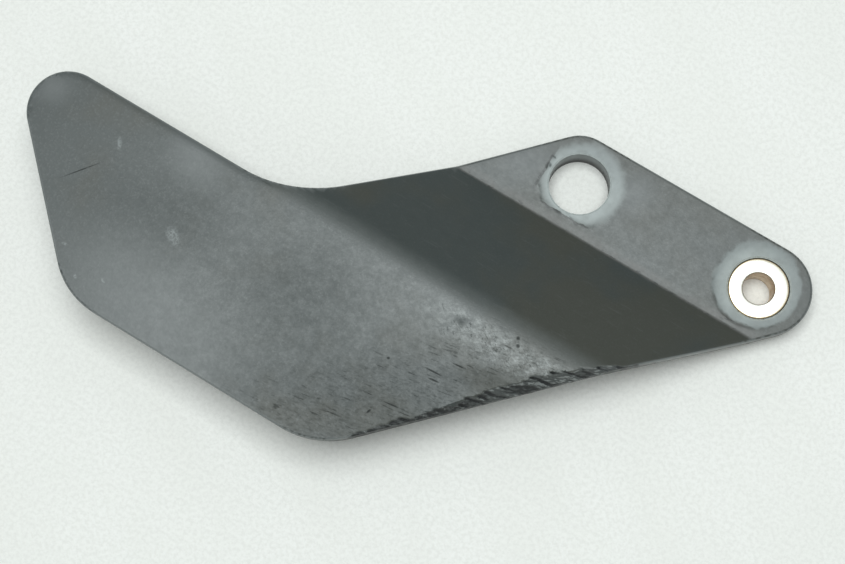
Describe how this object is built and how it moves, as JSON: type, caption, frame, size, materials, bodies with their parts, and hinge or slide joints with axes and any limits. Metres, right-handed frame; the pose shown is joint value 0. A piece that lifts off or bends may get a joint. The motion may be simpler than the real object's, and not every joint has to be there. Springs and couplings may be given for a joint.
{
  "type": "lower chain guard",
  "caption": "Flat moulded blade stepped out from a short mounting strip, which bolts to a swingarm through metal bushes and keeps feet and clothing out of the chain run.",
  "frame": {"origin": "on the seated bush's axis, in the plane of the boss faces that bear on the swingarm", "axes": "+Z along the bush's axis, away from the swingarm; +X along the row of mounting holes, away from the blade's tip; +Y from the blade towards the mounting strip"},
  "size_m": [0.1485, 0.0802, 0.019],
  "materials": {
    "moulded_plastic": "moulded black plastic, faded to grey, matte and scuffed",
    "plated_steel": "turned and zinc plated, bright"
  },
  "bodies": {
    "root": {"guard_plate": "moulded_plastic", "spacer_bush": "plated_steel"}
  },
  "joints": []
}
